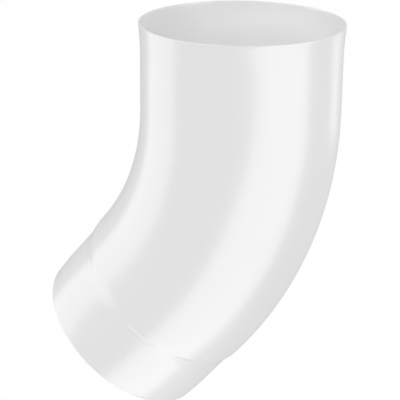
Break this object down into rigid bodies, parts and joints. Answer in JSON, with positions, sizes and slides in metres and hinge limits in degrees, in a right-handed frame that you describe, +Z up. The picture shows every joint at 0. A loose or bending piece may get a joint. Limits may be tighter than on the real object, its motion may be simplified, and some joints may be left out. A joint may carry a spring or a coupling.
{
  "type": "downspout elbow",
  "caption": "Round white downspout elbow in painted steel, a smooth 40 degree bend with a socket at the top and a swaged spigot below.",
  "frame": {"origin": "on the inlet socket's axis, where its straight collar meets the bend", "axes": "+Z up along the socket towards its mouth, the bend in the XZ plane turning down towards -X, Y across the bend"},
  "size_m": [0.1515, 0.102, 0.206],
  "materials": {
    "white_coat": "gloss white powder coat"
  },
  "bodies": {
    "root": {"elbow": "white_coat"}
  },
  "joints": []
}
